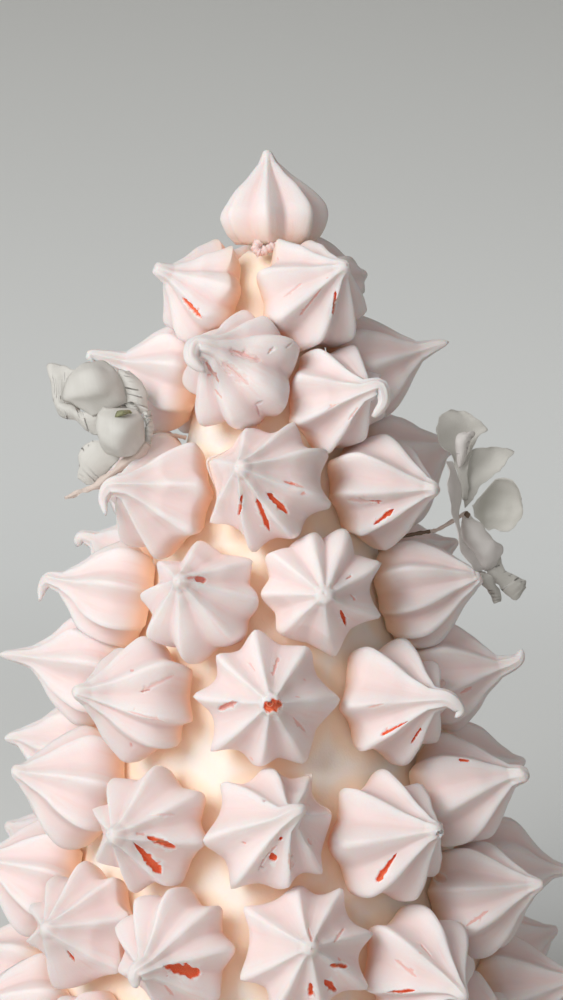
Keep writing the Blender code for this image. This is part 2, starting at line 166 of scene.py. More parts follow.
RING_3 = (
    Kiss(-104, 207, 40, roll=8, lean=(-2, 1)),
    Kiss(-53, 204, 46, 35, roll=15, lean=(3, 0), blunt=0.8,
         tip=((-2.5, -1.5, 3), (-3.5, -6, 3.5), (0, -11, 3.5))),
    Kiss(0, 209.5, 48, 36, ridges=(25, 61, 106, 154, 209, 255, 296, 339), lean=(-8, 2), tip=((-2, 0, 3),),
         blunt=1.5, lobed=0.05),
    Kiss(57, 206, 44, lean=(-1, -4), tip=((0, -1, 4),), blunt=2.0),
    Kiss(104, 210, 49, 41, roll=20, lean=(0, 1), tip=((0, -2, 5),)),
    Kiss(160, 207, roll=4, lean=(2, 2)),
    Kiss(208, 206, 43, roll=13, lean=(-2, 2)),
)
RING_4 = (
    Kiss(-76, 167, length=35, roll=20, lean=(-5, 0), tip=((-3, -0.5, 4), (-4.5, -4, 5.5), (-3, -9, 5.5)),
         blunt=1.0),
    Kiss(-24, 171, 45, 34, ridges=(5, 43, 102, 146, 181, 225, 267, 320), lean=(1, 4), tip=((0, 0, 4),),
         blunt=1.5, lobed=0.3),
    Kiss(19, 174.5, 45, 33, ridges=(20, 62, 96, 138, 178, 223, 278, 333), lean=(-5, -3), tip=((-1, 0, 3),),
         blunt=1.9, lobed=(0.15, 0.9, 0.8, 0.4, 0.25, 0.3, 0.3, 0.1)),
    Kiss(72, 169, length=38, ridges=(14, 58, 104, 148, 190, 222, 251, 281, 322), lean=(2, 0),
         tip=((0, 0.5, 2.5),), blunt=1.4, lobed=0.35),
    Kiss(112, 172, roll=6, lean=(1, 2)),
    Kiss(156, 172, roll=18, lean=(-2, 1)),
    Kiss(200, 170, 43, roll=9, lean=(3, 0)),
    Kiss(-116, 174, length=36, lean=(0, 2), tip=((2, 0, 5), (3, -4, 6))),
)
RING_5 = (
    Kiss(-83, 140, 44, 39, roll=9, lean=(-2, -2), tip=((-1, -2, 12),), blunt=1.0),
    Kiss(-42, 137, 44, ridges=(38, 87, 135, 180, 212, 265, 317, 345), lean=(-5, -1), tip=((-2, 0, 5),),
         blunt=1.6, lobed=0.45),
    Kiss(0, 140, 51, 36, ridges=(0, 52, 100, 137, 176, 222, 263, 299), lean=(1, -2), tip=((0, 0, 3),),
         blunt=2.0, lobed=0.15),
    Kiss(42, 136, 46, 36, ridges=(30, 71, 119, 177, 218, 269, 313, 350), lean=(-1, -1),
         tip=((2, -1, 5), (4, -5, 7), (2, -7, 6)), blunt=0.8),
    Kiss(82, 137, 43, roll=4, lean=(0, -1.5), tip=((0, 1, 7), (0, 4.5, 9.5)), blunt=1.0),
    Kiss(122, 139, roll=17, lean=(2, 1)),
    Kiss(161, 136, 43, roll=2, lean=(-1, 2)),
    Kiss(201, 138, roll=12, lean=(-2, -1)),
    Kiss(240, 136, 43, roll=19, lean=(2, 1)),
)
RING_6 = (
    Kiss(-97, 105, roll=7, lean=(0, -1), tip=((0, -2, 6),)),
    Kiss(-63, 103, 44, 38, roll=16, lean=(-2, 1), tip=((-1, 1, 4),)),
    Kiss(-31, 96.5, 45, ridges=(37, 86, 137, 167, 214, 259, 302, 355), lean=(1, -2), tip=((-1, 0, 4),),
         blunt=1.7, lobed=0.25),
    Kiss(1, 99.5, 47, 34, ridges=(12, 52, 91, 137, 190, 235, 282, 318), lean=(5, 4), tip=((3, 2, 3), (6, 3, 3)),
         lobed=0.1),
    Kiss(32, 94, 47.5, 38, ridges=(2, 42, 86, 129, 178, 231, 279, 317), lean=(3, 1), tip=((1, 0, 4),),
         blunt=1.8),
    Kiss(63, 101, 44, 38, roll=1, lean=(2, 2), tip=((0, 0, 6),), blunt=2.8),
    Kiss(96, 97, 43, 34, roll=15, lean=(1, -2)),
    Kiss(129, 102, 43, roll=5, lean=(-2, 0)),
    Kiss(162, 98, 44, roll=21, lean=(1, 2)),
    Kiss(195, 101, 43, roll=11, lean=(2, -2)),
    Kiss(229, 98, 44, roll=3, lean=(-1, 1)),
)
RING_7 = (
    Kiss(-76, 67, 44, roll=14, lean=(-1, 1)),
    Kiss(-47, 60, 46, 35, ridges=(24, 64, 104, 140, 172, 206, 257, 337), lean=(5, 1), tip=((0, 1, 3.5),),
         blunt=1.0),
    Kiss(-21, 60, 45, 36, ridges=(9, 48, 89, 125, 158, 201, 265, 320), lean=(-1, -4),
         tip=((-2, -2, 3), (-1, -6, 3)), lobed=0.4),
    Kiss(8.5, 62.5, 48, 36, ridges=(10, 56, 96, 145, 202, 240, 280, 326), lean=(-2, 2), tip=((0, 0, 4),),
         blunt=1.6, lobed=0.1),
    Kiss(35, 51.5, 44, 36, ridges=(35, 81, 128, 186, 220, 265, 310, 357), lean=(-1, -6), tip=((0, -3, 4.5),)),
    Kiss(60, 66, 44, roll=20, lean=(2, 1)),
    Kiss(90, 63, 44, roll=6, lean=(0, -6), tip=((0, -3, 7.5),)),
    Kiss(122, 61, 45, roll=16, lean=(2, 0)),
    Kiss(155, 64, 46, roll=1, lean=(-2, 2)),
    Kiss(187, 60, 45, roll=10, lean=(1, -1)),
    Kiss(219, 63, 46, roll=22, lean=(0, 2)),
    Kiss(251, 61, 45, roll=5, lean=(-2, 1)),
)
SEPARATE_RINGS = (RING_1, RING_2, RING_3, RING_4, RING_5, RING_6, RING_7)
LOWEST_HEIGHT = 24
LOWEST_AZIMUTHS = (-65, -39, -10, 19, 48, 76, 104, 132, 159, 186, 213, 240, 267)
LOWEST_RING = tuple(
    Kiss(azimuth, LOWEST_HEIGHT + number % 3 - 1, 44, 36, roll=7 * number, lean=(number % 4 - 2, 1))
    for number, azimuth in enumerate(LOWEST_AZIMUTHS)
)


@dataclass
class Mark:
    """A slit, streak, crack or broken knob on a kiss, between two pixels of the photo.

    The width is in pixels, and the depth in millimetres, negative for a knob. Red is 1 for the red inside of
    a kiss and about 0.3 for a pink streak. Skew moves the widest place towards the end, and ragged is how
    uneven the edge is.
    """

    start: tuple
    end: tuple
    width: float
    depth: float = 1.4
    red: float = 1
    skew: float = 0
    ragged: float = 1


def slit(start, end, width, skew=0.0):
    return Mark(start, end, width, skew=skew)


def streak(start, end, width, red=0.35):
    return Mark(start, end, width, depth=0.25, red=red, ragged=1.6)


def crack(start, end, width=2.0, red=0.12):
    return Mark(start, end, width, depth=0.7, red=red, ragged=1.8)


def knob(start, end, width, height=0.8):
    return Mark(start, end, width, depth=-height, red=0, ragged=2.2)


MARKS = {
    "kiss_1_01": (slit((182, 297), (202, 319), 5),),
    "kiss_1_02": (slit((335.5, 291), (333.5, 315), 3.5), streak((322, 288), (299, 317), 3, 0.5),
        streak((302, 283), (283, 297), 3, 0.25)),
    "kiss_2_02": (streak((229, 350), (261, 361), 10, 0.22), crack((232, 350), (258, 360), 2.5, 0.25),
        streak((222, 362), (249, 385), 12, 0.22), crack((226, 365), (246, 382), 2.5, 0.25),
        crack((205, 362), (219, 382), 3.5, 0.35), crack((274, 347), (268, 354)),
        crack((291, 344), (286, 348)), crack((263, 401), (255, 405), 2.5),
        crack((256, 405), (260, 416), 2.5), streak((214, 389), (222, 399), 3, 0.4)),
    "kiss_2_03": (streak((339, 403), (328, 409), 3), streak((358, 407), (348, 420), 3.5)),
    "kiss_3_03": (knob((205, 512), (214, 519), 4.5), slit((242.5, 495), (238, 516), 4),
        slit((256, 498), (270, 532), 5.5), slit((267, 493), (289, 514), 6),
        streak((283, 481), (304, 487), 4, 0.5), crack((285, 481), (296, 484), 1.8, 0.7)),
    "kiss_3_04": (crack((369, 501), (382, 502), 2.4, 0.7), streak((347, 500), (370, 502), 6, 0.18),
        slit((394, 509), (373, 525), 4.2, -0.4)),
    "kiss_4_02": (Mark((195, 579), (207, 580), 7, red=0.62), streak((187, 578), (197, 577), 4)),
    "kiss_4_03": (slit((340.5, 610), (346.5, 626), 4), crack((346, 579), (352, 575), 2.4, 0.4),
        crack((350, 594), (356, 600), 2.4, 0.4)),
    "kiss_5_02": (streak((130, 670), (134, 670), 3, 0.6), streak((140, 692), (175, 675), 6, 0.22),
        crack((141, 692), (150, 690), 1.8, 0.5), streak((127, 711), (164, 722), 4, 0.25)),
    "kiss_5_03": (Mark((218, 710), (237, 702), 7, depth=1, red=0.6),
        Mark((263, 708), (283, 703), 15.5, depth=1.2, ragged=0.8), streak((278, 657), (273, 676), 3.5, 0.5),
        streak((293, 717), (306, 732), 4, 0.4), streak((249, 662), (255, 671), 3, 0.25)),
    "kiss_5_04": (slit((380, 735), (408, 721), 3.2, -0.5), slit((411, 744), (421, 728), 2.8),
        streak((368, 708), (384, 704), 3, 0.25)),
    "kiss_5_05": (streak((460, 694), (472, 687), 5, 0.4),),
    "kiss_6_03": (slit((147, 836), (176, 849), 8), slit((133, 842), (162, 874), 8.5, 0.7),
        streak((136, 833), (145, 835), 4, 0.3), streak((150, 815), (175, 815), 4, 0.15)),
    "kiss_6_04": (Mark((269, 857), (277, 858), 9), slit((279, 841), (282, 837), 3.5),
        crack((277, 845), (266, 857), 2.2, 0.2), crack((266, 857), (258, 871), 2.2, 0.2),
        knob((285, 843), (289, 838), 5.5), knob((292, 832), (296, 839), 4.5), knob((298, 846), (303, 843), 5.5),
        streak((289, 853), (291, 871), 5, 0.3), streak((308, 838), (312, 845), 4),
        crack((242, 842), (246, 844), 2.4, 0.4)),
    "kiss_6_05": (slit((397, 853), (376, 882), 5.6, 0.6),
        Mark((436, 835), (444, 831), 5, depth=1.3, red=0)),
    "kiss_6_06": (slit((459, 759.5), (470, 761), 3.2),),
    "kiss_7_02": (slit((67, 950), (75, 962), 3),),
    "kiss_7_03": (Mark((163, 966), (201, 974), 12, skew=0.4), streak((164, 985), (174, 996), 4)),
    "kiss_7_04": (slit((329.5, 966), (348.5, 966), 6.5), slit((324.5, 980), (337, 992), 6.5),
        slit((310.5, 983), (309.5, 997), 5.5), streak((308.5, 927), (312, 942), 3.5, 0.5),
        streak((344, 928), (334, 943), 4.5, 0.4)),
    "kiss_7_05": (slit((387, 993), (415, 990), 4.5, 0.2), streak((394, 959), (417, 977), 5, 0.3),
        streak((421, 944), (431, 956), 3, 0.3)),
    "kiss_7_06": (streak((466, 926), (489, 910), 5, 0.55),
        Mark((434, 875), (446, 881), 9, depth=0.8, red=0, ragged=0.4)),
}
LIP_HEIGHT = 0.2 * MM
FINE_CUTS = 3
FINE_MARGIN = 3


@dataclass
class Petal:
    """One petal, as ribs from its heart to its edge.

    A rib is the column and row of its two ends in the photo, and how far its first end, its middle and its
    second end stand behind the heart, in millimetres.
    """

    ribs: tuple
    finish: str = "petal"


PETAL_THICKNESS = 0.3 * MM
PETAL_ROWS = 40
PETAL_COLUMNS = 28
STEM_RADIUS = 0.7 * MM
STEM_SIDES = 12

LEFT_PETALS = {
    "top": Petal(((92, 417, 126, 403, 1, -1, 1), (72, 405, 129, 396, 1, -4, 2), (62, 398, 126, 384, 2, -6, 3),
        (64, 380, 116, 370, 3, -5, 4), (72, 369, 106, 364, 5, -2, 5), (82, 363, 95, 361, 7, 3, 7))),
    "behind": Petal(((80, 412, 80, 372, 5, 5, 5), (66, 418, 66, 366, 5, 4, 6), (58, 412, 57, 364, 5, 3, 7),
        (54, 398, 50, 363, 6, 4, 8), (51, 385, 47, 366, 7, 6, 9))),
    "left": Petal(((104, 433, 100, 410, 1, 1, 1), (90, 433, 84, 412, 2, 0, 2), (78, 424, 72, 405, 3, 1, 3),
        (64, 418, 61, 402, 4, 2, 4), (59, 410, 58, 403, 5, 4, 5))),
    "cup": Petal(((104, 407, 137, 409, -4, -3, -2), (96, 418, 144, 420, -5, -11, -4),
        (95, 430, 144, 432, -5, -14, -5), (99, 443, 141, 444, -5, -13, -4), (107, 452, 133, 453, -4, -10, -4),
        (115, 457, 124, 457, -3, -6, -3))),
    "rim": Petal(((103, 411, 138, 413, -2, 4, -1), (108, 404, 134, 405, -1, 3, 0),
        (116, 402, 128, 402, 0, 2, 0))),
    "right": Petal(((128, 408, 151, 418, 2, 2, 2), (125, 395, 148, 400, 3, 1, 4), (121, 383, 142, 386, 4, 2, 5),
        (119, 373, 135, 376, 5, 3, 6), (122, 371, 129, 371, 6, 5, 6))),
    "low": Petal(((100, 440, 122, 455, 0, 0, 0), (88, 443, 112, 466, 2, 0, 1), (79, 452, 102, 478, 3, 1, 2),
        (78, 468, 94, 484, 4, 2, 3), (79, 478, 86, 483, 5, 4, 4))),
    "fold": Petal(((143, 412, 151, 410, -2, -3, 0), (145, 425, 153, 425, -2, -4, 0),
        (144, 440, 150, 444, -1, -2, 0))),
    "bud": Petal(((114, 419, 117, 411, -10, -11, -8), (122, 416, 123, 410, -11, -12, -9),
        (131, 412.6, 131, 411.4, -8, -8, -8)), "green"),
    "sepal": Petal(((142, 439, 151, 446, -1, -3, 0), (130, 453, 141, 459, -2, -4, -1),
        (117, 463, 127, 469, -3, -5, -2), (105, 473, 112, 479, -3, -5, -3), (96, 483, 98, 488, -3, -4, -3),
        (82, 489, 83, 493, -3, -3, -3), (72, 493, 73, 498, -3, -4, -3), (64, 496, 65, 500, -3, -3, -3)), "dry"),
}
RIGHT_PETALS = {
    "top": Petal(((462, 500, 468, 500, 1, 1, 1), (456, 470, 468, 468, 3, 3, 3), (450, 458, 473, 450, 4, 6, 4),
        (438, 443, 478, 438, 5, 8, 5), (436, 428, 487, 430, 6, 8, 6), (441, 415, 480, 421, 7, 8, 7),
        (450, 409, 465, 412, 8, 9, 8)), "shaded"),
    "fold": Petal(((459, 468, 462, 464, 1, 1, 2), (457, 455, 467, 455, 0, -1, 1),
        (455, 443, 472, 445, -1, -2, 1), (458, 436, 476, 435, 0, -1, 2),
        (465, 431, 475, 431, 1, 0, 2)), "painted_lit"),
    "right": Petal(((465, 508, 474, 500, 1, 1, 1), (461, 485, 480, 490, 2, 4, 2), (462, 466, 492, 477, 3, 6, 3),
        (473, 451, 504, 467, 4, 6, 4), (490, 447, 510, 458, 6, 7, 5), (507, 448, 514, 453, 8, 8, 7)), "shaded"),
    "cup": Petal(((472, 505, 474, 516, 1, 1, 1), (478, 497, 484, 527, 0, 4, 1), (487, 487, 492, 529, -1, 6, 0),
        (498, 480, 503, 530, -3, 5, -2), (510, 480, 513, 527, -5, 2, -4), (519, 487, 520, 518, -7, -2, -6),
        (523, 498, 523, 510, -8, -6, -8)), "shaded"),
    "low": Petal(((463, 516, 470, 515, 0, 0, 0), (460, 526, 482, 525, 1, -2, 1), (462, 540, 492, 538, 2, -3, 2),
        (469, 553, 501, 545, 3, -2, 3), (480, 567, 500, 558, 4, 1, 5),
        (485, 570, 493, 567, 6, 5, 6)), "painted_lit"),
    "ragged": Petal(((484, 566, 500, 556, 5, 5, 5), (490, 576, 506, 570, 6, 5, 6),
        (500, 587, 516, 576, 7, 6, 7), (507, 596, 526, 581, 8, 7, 8), (516, 599, 527, 588, 9, 9, 9)), "shaded"),
    "tail": Petal(((478, 570, 486, 572, 2, 2, 2), (481, 582, 494, 582, 2, 1, 3), (488, 593, 500, 592, 3, 2, 4),
        (495, 603, 499, 601, 3, 3, 4)), "shaded"),
    "near": Petal(((449, 461, 454, 461, -9, -6, -4), (447, 478, 457, 476, -13, -8, -3),
        (450, 494, 463, 490, -15, -8, -1), (453, 512, 461, 510, -15, -8, 0), (455, 530, 459, 524, -14, -8, -1),
        (459, 547, 464, 540, -12, -7, -2), (466, 560, 472, 553, -9, -5, -2),
        (475, 573, 483, 570, -5, -3, -1)), "painted_lit"),
}

# Each flower: how far back its heart stands, its petals, and its stalks, all in millimetres.
FLOWERS = {
    "flower_left": (-30, LEFT_PETALS, (
        ("dry", ((-45, -24, 230), (-38, -16, 228), (-33, -12, 227), (-29, -9.5, 226))),
    )),
    "flower_right": (-16, RIGHT_PETALS, (
        ("dry", ((70.5, -16, 200), (61, -15, 194), (57, -15.4, 193.1))),
        ("stem", ((58, -15.2, 193.2), (50, -17, 192), (37, -17, 189))),
    )),
}

# Each finish of a petal: its material, its light and its darker colour, and how much light it lets through.
PETAL_FINISHES = {
    "petal": ("white_petal", (0.87, 0.865, 0.83), (0.74, 0.73, 0.685), 0.22),
    # Painted light and shade: the bright and shaded finishes are the same white petal, made lighter where lit and
    # darker where shaded.
    "painted_lit": ("painted_lit_petal", (0.98, 0.965, 0.95), (0.93, 0.91, 0.89), 0.35),
    "shaded": ("shaded_petal", (0.77, 0.765, 0.725), (0.64, 0.63, 0.585), 0.22),
    "green": ("green_bud", (0.44, 0.45, 0.26), (0.34, 0.36, 0.20), 0.2),
    "dry": ("dry_sepal", (0.95, 0.86, 0.80), (0.75, 0.64, 0.57), 0.3),
}
DARK_HEART = (70.6, -17.2, 199.3)
HEART_RADIUS = 1.0 * MM

# Small curled ends of piped meringue: their radius in mm, and their routes as column, row and mm to the back.
CURLS = {
    "curl_under_apex": (
        1.6, ((277, 246, -13), (268, 249, -14.5), (260, 252, -15), (256, 248, -15), (259, 242, -14)),
    ),
    "curl_behind_5": (1.1, ((436, 689, -38), (441, 684, -38.5), (443.5, 681, -39))),
}


def smooth_path(points, steps):
    """Points along a Catmull-Rom curve that leaves its first point straight towards the second."""
    points = [np.array(point, float) for point in points]
    ends = [2 * points[0] - points[1], *points, 2 * points[-1] - points[-2]]
    path = []
    for a, b, c, d in zip(ends, ends[1:], ends[2:], ends[3:]):
        for step in range(steps):
            t = step / steps
            square = (2 * a - 5 * b + 4 * c - d) * t**2
            cube = (3 * b - a - 3 * c + d) * t**3
            path.append(0.5 * (2 * b + (c - a) * t + square + cube))
    path.append(points[-1])
    return np.array(path)


def framed(path, across):
    """Unit directions across and upward at each point of a path, turned along with it."""
    frames = []
    for number in range(len(path)):
        along = path[min(number + 1, len(path) - 1)] - path[max(number - 1, 0)]
        along = along / np.linalg.norm(along)
        across = across - along * across.dot(along)
        across = across / np.linalg.norm(across)
        frames.append((across, np.cross(along, across)))
    return np.array(frames)


def unit(vectors):
    return vectors / np.maximum(np.linalg.norm(vectors, axis=1, keepdims=True), 1e-12)


def waves(points, size, seed, count=9):
    """Smooth noise between about -1 and 1 over points in metres, with bumps of about the given size."""
    draw = np.random.RandomState(seed)
    directions = draw.normal(size=(count, 3))
    directions *= (math.pi / size) * draw.uniform(0.6, 1.4, (count, 1)) / np.linalg.norm(
        directions, axis=1, keepdims=True
    )
    phases = draw.uniform(0, 2 * math.pi, count)
    return np.sin(points @ directions.T + phases).sum(axis=1) / math.sqrt(count)


def smooth_step(low, high, value):
    share = np.clip((value - low) / (high - low), 0, 1)
    return share * share * (3 - 2 * share)


def pixels_of(points):
    """Where points in metres fall in the photo's frame."""
    height = points[:, 2] - AIM_HEIGHT
    depth = VIEW_DISTANCE + points[:, 1] * VIEW_COSINE - height * VIEW_SINE
    scale = VIEW_DISTANCE / PIXEL / depth
    column = AXIS_COLUMN + scale * points[:, 0]
    row = PHOTO_HEIGHT / 2 - scale * (points[:, 1] * VIEW_SINE + height * VIEW_COSINE)
    return np.stack([column, row], axis=1)


def away_from_mark(pixels, mark, wobble):
    """How far pixels are from the middle of a mark: 1 at its edge, which tapers to both ends."""
    start = np.array(mark.start, float)
    along = np.array(mark.end, float) - start
    length = np.linalg.norm(along)
    along /= length
    share = (pixels - start) @ along / length
    across = np.abs((pixels - start) @ np.array((-along[1], along[0])))
    place = 2 * share - 1
    tapered = np.clip(1 - np.abs(place) ** 5, 0.02, 1)
    half = 0.42 * mark.width * tapered * (1 + mark.skew * np.clip(place, -1, 1))
    past = np.maximum(np.abs(place) - 1, 0) * length / mark.width
    return across / half * (1 + 0.33 * mark.ragged * wobble) + 2 * past


def from_line(pixels, mark):
    """How far pixels are from the line between the two ends of a mark."""
    start = np.array(mark.start, float)
    along = np.array(mark.end, float) - start
    share = np.clip((pixels - start) @ along / (along @ along), 0, 1)
    return np.linalg.norm(pixels - start - share[:, None] * along, axis=1)


def painted_glow(points):
    """How much painted glow stands in for light soaking through: all on the strong light's side, none on the far
    side or at the back.
    """
    towards = points[:, 0] * math.sin(PAINTED_GLOW_AZIMUTH) - points[:, 1] * math.cos(PAINTED_GLOW_AZIMUTH)
    front = 1 - smooth_step(0, PAINTED_GLOW_BACK, points[:, 1])
    return smooth_step(-PAINTED_GLOW_REACH, PAINTED_GLOW_REACH, towards) * front


def grid_faces(rows, columns, closed=True):
    """Quads of a grid of points, row by row, whose columns go round if closed."""
    number = np.arange(rows * columns).reshape(rows, columns)
    after = np.roll(number, -1, axis=1)
    if not closed:
        number, after = number[:, :-1], number[:, 1:]
        low, high = number, after
        return np.stack([low[:-1], high[:-1], high[1:], low[1:]], axis=-1).reshape(-1, 4)
    return np.stack([number[:-1], after[:-1], after[1:], number[1:]], axis=-1).reshape(-1, 4)


def closed(points, rows, columns, foot, top):
    """The points and faces of a grid that goes round, row by row, with a fan to a middle point at each end."""
    last = len(points) - columns
    faces = grid_faces(rows, columns).tolist()
    faces += [((i + 1) % columns, i, len(points)) for i in range(columns)]
    faces += [(last + i, last + (i + 1) % columns, len(points) + 1) for i in range(columns)]
    return np.concatenate([points, [foot], [top]]), faces


def split_fine(mesh, close):
    """Splits the faces among the chosen points into small ones."""
    form = bmesh.new()
    form.from_mesh(mesh)
    form.verts.ensure_lookup_table()
    edges = [edge for edge in form.edges if close[edge.verts[0].index] and close[edge.verts[1].index]]
    bmesh.ops.subdivide_edges(form, edges=edges, cuts=FINE_CUTS, use_grid_fill=True)
    form.to_mesh(mesh)
    form.free()


def points_of(mesh, kind="co"):
    """The points of a mesh, or their normals where that kind is asked for."""
    numbers = np.empty(len(mesh.vertices) * 3)
    mesh.vertices.foreach_get(kind, numbers)
    return numbers.reshape(-1, 3)


def add_values(mesh, values):
    for title, numbers in values.items():
        layer = mesh.attributes.new(title, "FLOAT", "POINT")
        layer.data.foreach_set("value", np.asarray(numbers, np.float32))


def add_piece(name, points, faces, finish, values=None):
    """A smooth-shaded mesh object with named values at its points."""
    mesh = bpy.data.meshes.new(name)
    mesh.from_pydata(points.tolist(), [], faces)
    add_values(mesh, values or {})
    mesh.materials.append(finish)
    mesh.shade_smooth()
    piece = bpy.data.objects.new(name, mesh)
    bpy.context.scene.collection.objects.link(piece)
    return piece


def kiss_place(kiss, offset):
    """The frame of a kiss on the cone: X to its right, Y up the slope and Z straight out."""
    if kiss is APEX:
        return Matrix.Translation((APEX_SHIFT, 0, CORE_TOP + offset))
    turn = math.radians(kiss.azimuth)
    height = kiss.height * MM
    radius = FOOT_RADIUS - SLOPE * height
    right = Vector((math.cos(turn), math.sin(turn), 0))
    out = Vector((math.sin(turn), -math.cos(turn), math.tan(LEAN_OF_SIDE))).normalized()
    up = out.cross(right)
    place = Matrix((right, up, out)).transposed().to_4x4()
    place.translation = Vector((radius * math.sin(turn), -radius * math.cos(turn), height)) + out * offset
    return place


def kiss_path(kiss):
    """The middle line of a kiss, and how many of its points lie below the neck."""
    length = kiss.length
    lean = np.array((*kiss.lean, 0.0))
    up = np.array((0.0, 0.0, 1.0))
    neck = lean + up * NECK * length
    ends = kiss.tip or ((0.15 * kiss.lean[0], 0.15 * kiss.lean[1], 0.14 * length),)
    control = [0 * up, up * 0.3 * length, 0.55 * lean + up * 0.6 * length, neck]
    control += [neck + np.array(end) for end in ends]
    return smooth_path(control, SPINE_STEPS) * MM, 3 * SPINE_STEPS


def ridge_angles(kiss, draw):
    """Where the ridges stand, in radians: as given, or evenly spaced with small drawn shifts."""
    if kiss.ridges:
        return [math.radians(angle) for angle in kiss.ridges]
    step = 360 / EVEN_RIDGES
    shifts = [draw.uniform(-EVEN_RIDGE_SHIFT, EVEN_RIDGE_SHIFT) for _ in range(EVEN_RIDGES)]
    return [math.radians(kiss.roll + step * number + shift) for number, shift in enumerate(shifts)]


def softened(value):
    """A value from 0 to 1 that leaves 0 softly."""
    soft = CREASE_SOFTNESS
    return (np.sqrt(value**2 + soft**2) - soft) / (math.sqrt(1 + soft**2) - soft)


def groove_shape(kiss, angles, sizes, turns, draw):
    """For each turn round the kiss: how deep in a groove it is, from 0 to 1, and the size of the ridges."""
    edges = np.array([*angles, angles[0] + 2 * math.pi])
    sizes = np.array([*sizes, sizes[0]])
    if isinstance(kiss.lobed, tuple):
        lobes = kiss.lobed
    else:
        lobes = np.clip([kiss.lobed + draw.uniform(-0.2, 0.2) for _ in angles], 0, 1)
    lobes = np.array([*lobes, lobes[0]])
    wrapped = (turns - edges[0]) % (2 * math.pi) + edges[0]
    which = np.clip(np.searchsorted(edges, wrapped, side="right") - 1, 0, len(angles) - 1)
    phase = (wrapped - edges[which]) / (edges[which + 1] - edges[which])
    away = 1 - np.abs(2 * phase - 1)
    star = 1 - (1 - softened(away)) ** 2.6
    lobe = (1 - softened(1 - away)) ** 1.8
    lobed = lobes[which] + (lobes[which + 1] - lobes[which]) * phase
    size = sizes[which] + (sizes[which + 1] - sizes[which]) * (0.5 - 0.5 * np.cos(math.pi * phase))
    return star + (lobe - star) * lobed, size


def level_places(rows, path_length, neck_index, kiss):
    """Places along the spine for each row, with the ridge radius and the groove depth there."""
    body_rows = int(rows * BODY_ROWS)
    share = NECK * np.linspace(0, 1, body_rows, endpoint=False) ** 0.95
    curve = smooth_path([(height * 100, radius) for height, radius in OUTLINE], 8)
    radius = np.interp(share * 100, curve[:, 0], curve[:, 1]) * kiss.width * MM
    depth = np.interp(share, *zip(*GROOVE_DEPTH))
    tip_share = np.linspace(0, 1, rows - body_rows)
    neck_radius = OUTLINE[-1][1] * kiss.width * MM
    end_radius = kiss.blunt * MM
    tip_radius = neck_radius + (end_radius - neck_radius) * tip_share**0.8
    tip_radius *= np.sqrt(np.clip(1.02 - tip_share**8, 0.02, 1))
    tip_depth = GROOVE_DEPTH[-1][1] * (1 - tip_share) ** 1.5
    tip_place = neck_index + tip_share * (path_length - 1 - neck_index)
    place = np.concatenate([share / NECK * neck_index, tip_place])
    return place, np.concatenate([radius, tip_radius]), np.concatenate([depth, tip_depth])


def kept_clear(points, centres, walls):
    """Points drawn in towards their centres until they are inside every wall, bent softly just before it."""
    share = np.ones(len(points))
    for normal, limit in walls:
        reach = (points - centres) @ normal
        room = np.maximum(limit - centres @ normal, 1e-5)
        ratio = np.maximum(reach, 0) / room
        bent = EASED_FROM + EASED_ROOM * np.tanh((ratio - EASED_FROM) / EASED_ROOM)
        eased = np.where(ratio > EASED_FROM, bent, ratio)
        share = np.minimum(share, np.where(ratio > 1e-6, eased / np.maximum(ratio, 1e-6), 1))
    return centres + (points - centres) * share[:, None]


def add_marks(name, mesh):
    """Cuts, lifts and reddens a kiss where its marks are."""
    marks = MARKS.get(name, ())
    points = points_of(mesh)
    if marks:
        pixels = pixels_of(points)
        close = np.zeros(len(points), bool)
        for mark in marks:
            close |= from_line(pixels, mark) < mark.width / 2 + FINE_MARGIN
        split_fine(mesh, close & (facing_eye(points, points_of(mesh, "normal")) > 0))
        points = points_of(mesh)
    normals = points_of(mesh, "normal")
    seen = smooth_step(0.0, 0.15, facing_eye(points, normals))
    pixels = pixels_of(points)
    wobble = 0.6 * waves(points, 1.5 * MM, 11) + 0.5 * waves(points, 0.6 * MM, 12)
    push = np.zeros(len(points))
    red = np.zeros(len(points))
    rim = np.zeros(len(points))
    for mark in marks:
        away = away_from_mark(pixels, mark, wobble)
        inside = (1 - smooth_step(0.75, 1.15, away)) * seen
        deep = (1 - smooth_step(0.2, 1.1, away)) * seen
        if mark.depth < 0:
            push += -mark.depth * MM * deep * (0.7 + 0.5 * wobble)
            continue
        lip = np.exp(-(((away - 1.4) / 0.35) ** 2)) * seen
        push = np.minimum(push, -mark.depth * MM * (0.5 * inside + 0.5 * deep))
        push += LIP_HEIGHT * lip * min(mark.depth, 1) * (1 - inside)
        share = inside if mark.depth > 0.5 else (1 - smooth_step(0.1, 1.2, away)) * seen
        red = np.maximum(red, mark.red * share)
        rim = np.maximum(rim, lip * min(mark.depth, 1))
    mesh.vertices.foreach_set("co", (points + normals * push[:, None]).ravel())
    add_values(mesh, {"red": red, "rim": rim})
    mesh.update()


def facing_eye(points, normals):
    """How squarely points face the place from which the photo was taken."""
    eye = np.array((0, -VIEW_COSINE, VIEW_SINE)) * VIEW_DISTANCE + (0, 0, AIM_HEIGHT)
    return (normals * unit(eye - points)).sum(axis=1)


